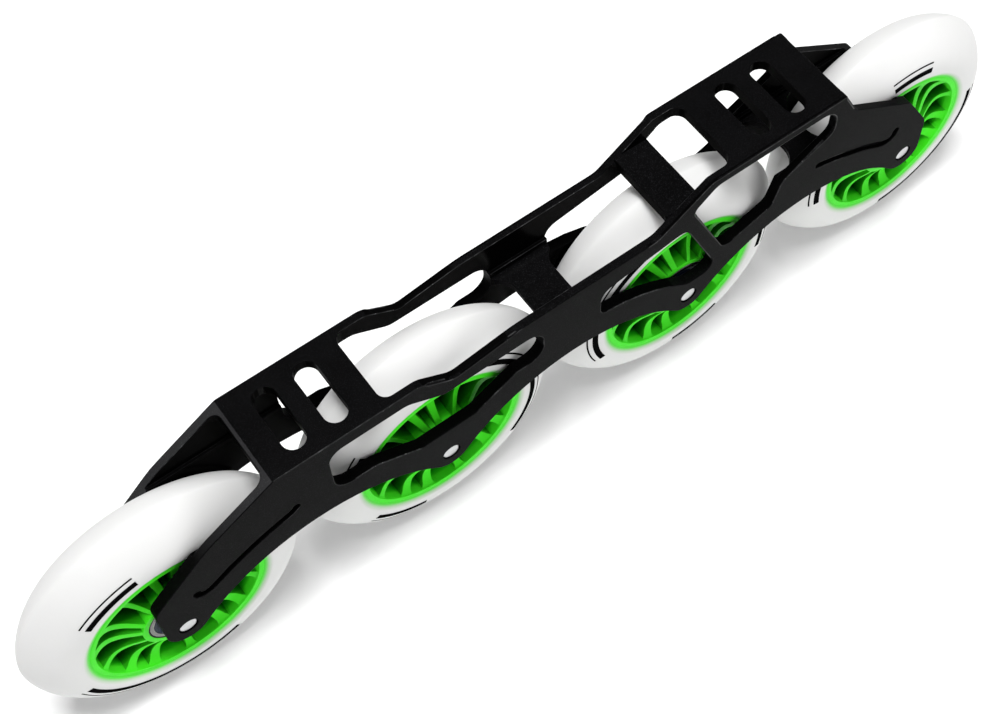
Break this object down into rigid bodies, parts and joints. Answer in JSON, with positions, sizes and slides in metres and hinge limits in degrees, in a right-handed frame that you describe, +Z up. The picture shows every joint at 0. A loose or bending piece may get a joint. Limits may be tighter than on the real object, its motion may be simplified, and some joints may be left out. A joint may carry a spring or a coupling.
{
  "type": "inline speed skate frame with wheels",
  "caption": "Black in-line speed skate frame with white wheels on green spoked hubs, bearings and axles, with slotted toe and heel plates for a boot.",
  "frame": {"origin": "on the ground under the middle of the wheelbase, in the middle of the frame's width", "axes": "+X points forwards to the toe end, +Z up, +Y to the side where the threaded ends of the axles show"},
  "size_m": [0.4048, 0.0342, 0.115],
  "materials": {
    "frame_black": "satin black anodised, fine grain",
    "tyre_white": "milky cast polyurethane, satin",
    "hub_green": "bright green moulded nylon, satin gloss",
    "race_steel": "ground bearing steel",
    "shield_dark": "dark blue coated shield",
    "ball_steel": "polished steel",
    "cage_nylon": "natural nylon",
    "spacer_aluminium": "turned aluminium",
    "axle_silver": "turned bright steel"
  },
  "bodies": {
    "frame_body": {"frame": "frame_black", "bearing_inner_races_1": "race_steel", "bearing_spacer_1": "spacer_aluminium", "axle_bolt_1": "axle_silver", "bearing_inner_races_2": "race_steel", "bearing_spacer_2": "spacer_aluminium", "axle_bolt_2": "axle_silver", "bearing_inner_races_3": "race_steel", "bearing_spacer_3": "spacer_aluminium", "axle_bolt_3": "axle_silver", "bearing_inner_races_4": "race_steel", "bearing_spacer_4": "spacer_aluminium", "axle_bolt_4": "axle_silver"},
    "wheel_1": {"tyre_1": "tyre_white", "hub_1": "hub_green", "bearing_outer_races_1": "race_steel", "bearing_shields_1": "shield_dark"},
    "ball_set_1": {"bearing_balls_1": "ball_steel", "bearing_cages_1": "cage_nylon"},
    "wheel_2": {"tyre_2": "tyre_white", "hub_2": "hub_green", "bearing_outer_races_2": "race_steel", "bearing_shields_2": "shield_dark"},
    "ball_set_2": {"bearing_balls_2": "ball_steel", "bearing_cages_2": "cage_nylon"},
    "wheel_3": {"tyre_3": "tyre_white", "hub_3": "hub_green", "bearing_outer_races_3": "race_steel", "bearing_shields_3": "shield_dark"},
    "ball_set_3": {"bearing_balls_3": "ball_steel", "bearing_cages_3": "cage_nylon"},
    "wheel_4": {"tyre_4": "tyre_white", "hub_4": "hub_green", "bearing_outer_races_4": "race_steel", "bearing_shields_4": "shield_dark"},
    "ball_set_4": {"bearing_balls_4": "ball_steel", "bearing_cages_4": "cage_nylon"}
  },
  "joints": [
    {"name": "wheel_1_spin", "type": "hinge", "parent": "frame_body", "child": "wheel_1", "pos_m": [0.1524, 0, 0.05], "axis": [0, 1, 0], "continuous": true},
    {"name": "ball_set_1_spin", "type": "hinge", "parent": "frame_body", "child": "ball_set_1", "pos_m": [0.1524, 0, 0.05], "axis": [0, 1, 0], "continuous": true},
    {"name": "wheel_2_spin", "type": "hinge", "parent": "frame_body", "child": "wheel_2", "pos_m": [0.0508, 0, 0.05], "axis": [0, 1, 0], "continuous": true},
    {"name": "ball_set_2_spin", "type": "hinge", "parent": "frame_body", "child": "ball_set_2", "pos_m": [0.0508, 0, 0.05], "axis": [0, 1, 0], "continuous": true},
    {"name": "wheel_3_spin", "type": "hinge", "parent": "frame_body", "child": "wheel_3", "pos_m": [-0.0508, 0, 0.05], "axis": [0, 1, 0], "continuous": true},
    {"name": "ball_set_3_spin", "type": "hinge", "parent": "frame_body", "child": "ball_set_3", "pos_m": [-0.0508, 0, 0.05], "axis": [0, 1, 0], "continuous": true},
    {"name": "wheel_4_spin", "type": "hinge", "parent": "frame_body", "child": "wheel_4", "pos_m": [-0.1524, 0, 0.05], "axis": [0, 1, 0], "continuous": true},
    {"name": "ball_set_4_spin", "type": "hinge", "parent": "frame_body", "child": "ball_set_4", "pos_m": [-0.1524, 0, 0.05], "axis": [0, 1, 0], "continuous": true}
  ],
  "couplings": [
    {"joint": "ball_set_1_spin", "follows": "wheel_1_spin", "ratio": 0.632},
    {"joint": "ball_set_2_spin", "follows": "wheel_2_spin", "ratio": 0.632},
    {"joint": "ball_set_3_spin", "follows": "wheel_3_spin", "ratio": 0.632},
    {"joint": "ball_set_4_spin", "follows": "wheel_4_spin", "ratio": 0.632}
  ]
}
